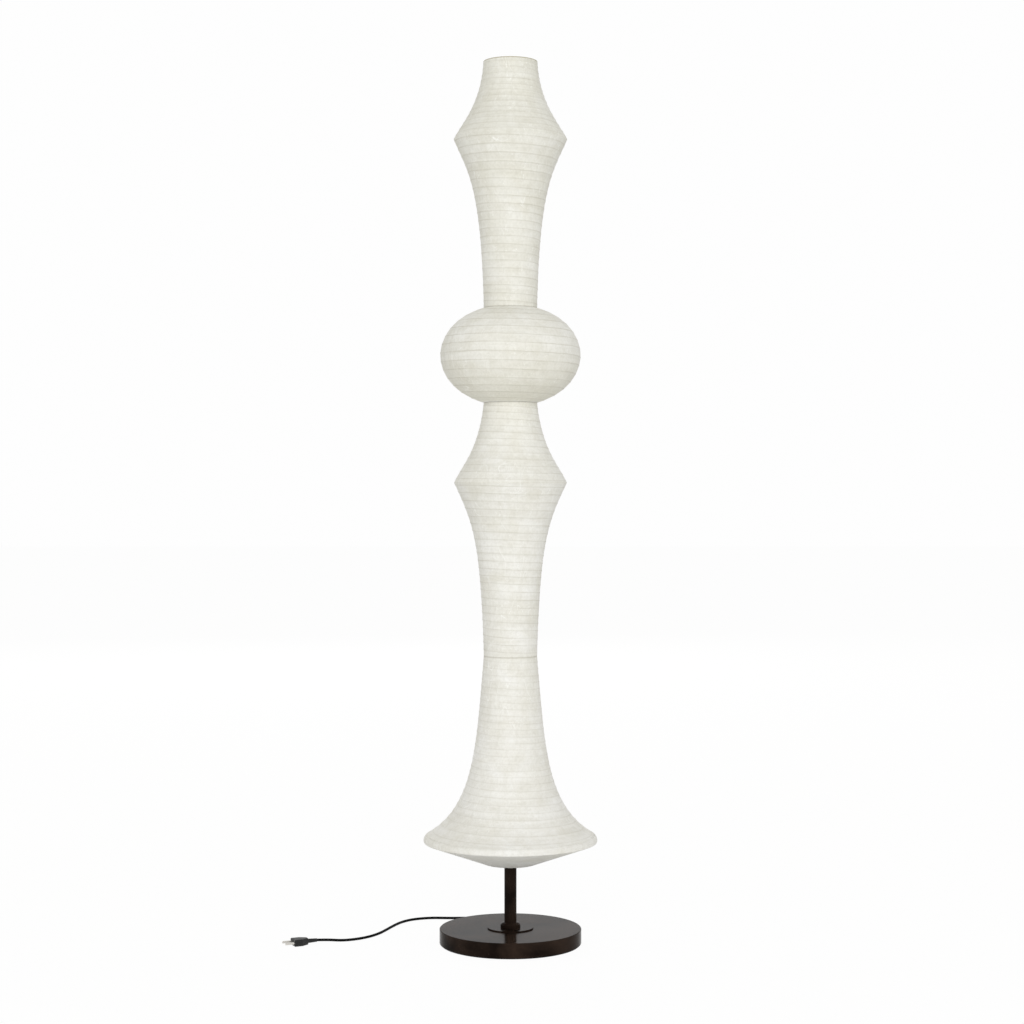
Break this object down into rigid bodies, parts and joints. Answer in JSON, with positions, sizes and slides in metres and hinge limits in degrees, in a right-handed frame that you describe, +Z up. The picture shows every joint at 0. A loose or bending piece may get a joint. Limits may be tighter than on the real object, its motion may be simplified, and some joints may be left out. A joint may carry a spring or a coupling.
{
  "type": "floor lamp",
  "caption": "Floor lamp with stacked silk shades in spindle, globe and bell shapes on a slim bronze pole and round weighted base, with cord, in-line switch and plug.",
  "frame": {"origin": "centre of the underside of the base, on the floor", "axes": "+Z up along the pole; the cord leaves behind, towards +Y, and lies towards -X"},
  "size_m": [0.6425, 0.4212, 1.8],
  "materials": {
    "silk": "silk paper stretched over ribs",
    "white_wire": "white powder coat",
    "rib_strip": "white coated spring strip",
    "bronze": "satin dark bronze",
    "steel": "zinc plated",
    "bracket_steel": "zinc plated",
    "finial_brass": "turned, satin",
    "holder_white": "moulded",
    "bulb_glass": "opal",
    "ballast_iron": "as cast",
    "pad_rubber": "matte",
    "gland_rubber": "matte",
    "cord_black": "satin sheath",
    "tie_black": "soft strap",
    "plug_black": "moulded",
    "switch_black": "moulded",
    "rocker_black": "moulded",
    "pin_nickel": "nickel plated",
    "flex_sleeve": "insulated flex",
    "terminal_white": "moulded"
  },
  "bodies": {
    "lamp": {"globe_silk": "silk", "lower_silk": "silk", "bell_silk": "silk", "globe_frame": "white_wire", "lower_frame": "white_wire", "bell_frame": "white_wire", "globe_spider": "white_wire", "lower_spider": "white_wire", "bell_spider": "white_wire", "bell_guide": "white_wire", "globe_ribs": "rib_strip", "lower_ribs": "rib_strip", "bell_ribs": "rib_strip", "base_cover": "bronze", "flange_disc": "bronze", "pole_collar": "bronze", "lower_pole": "bronze", "lower_stem": "steel", "upper_stem": "steel", "pole_reducer": "steel", "stem_coupler": "steel", "top_insert": "steel", "foot_stud": "steel", "base_washer": "steel", "base_nut": "steel", "set_screws": "steel", "holder_nuts": "steel", "upper_bracket": "bracket_steel", "globe_bracket": "bracket_steel", "lower_bracket": "bracket_steel", "bell_bracket": "bracket_steel", "upper_holder": "holder_white", "globe_holder": "holder_white", "lower_holder": "holder_white", "bell_holder": "holder_white", "ballast_disc": "ballast_iron", "base_pad": "pad_rubber", "cord_gland": "gland_rubber", "cord_feed": "cord_black", "cord_link": "cord_black", "cord_coil": "cord_black", "cord_run": "cord_black", "coil_tie": "tie_black", "plug_body": "plug_black", "switch_body": "switch_black", "plug_pins": "pin_nickel", "inner_flex": "flex_sleeve", "terminal_block": "terminal_white"},
    "upper_shade": {"upper_silk": "silk", "upper_frame": "white_wire", "upper_ribs": "rib_strip", "upper_spider": "white_wire"},
    "finial": {"finial_nut": "finial_brass"},
    "upper_bulb_body": {"upper_bulb": "bulb_glass"},
    "globe_bulb_body": {"globe_bulb": "bulb_glass"},
    "lower_bulb_body": {"lower_bulb": "bulb_glass"},
    "bell_bulb_body": {"bell_bulb": "bulb_glass"},
    "rocker": {"switch_rocker": "rocker_black"}
  },
  "joints": [
    {"name": "upper_shade_lift", "type": "slide", "parent": "lamp", "child": "upper_shade", "axis": [0, 0, 1], "range_m": [0, 0.5]},
    {"name": "finial_turn", "type": "hinge", "parent": "upper_shade", "child": "finial", "pos_m": [0, 0, 1.776], "axis": [0, 0, 1], "continuous": true},
    {"name": "upper_bulb_turn", "type": "hinge", "parent": "lamp", "child": "upper_bulb_body", "pos_m": [0.028, 0, 1.6], "axis": [0, 0, 1], "continuous": true},
    {"name": "globe_bulb_turn", "type": "hinge", "parent": "lamp", "child": "globe_bulb_body", "pos_m": [0.028, 0, 1.19], "axis": [0, 0, 1], "continuous": true},
    {"name": "lower_bulb_turn", "type": "hinge", "parent": "lamp", "child": "lower_bulb_body", "pos_m": [0.028, 0, 0.9], "axis": [0, 0, 1], "continuous": true},
    {"name": "bell_bulb_turn", "type": "hinge", "parent": "lamp", "child": "bell_bulb_body", "pos_m": [0.046, 0, 0.27], "axis": [0, 0, 1], "continuous": true},
    {"name": "switch_rock", "type": "hinge", "parent": "lamp", "child": "rocker", "pos_m": [0.06119, 0.17344, 0.011], "axis": [-0.1736, 0.9848, 0], "range_deg": [0, 14]}
  ]
}
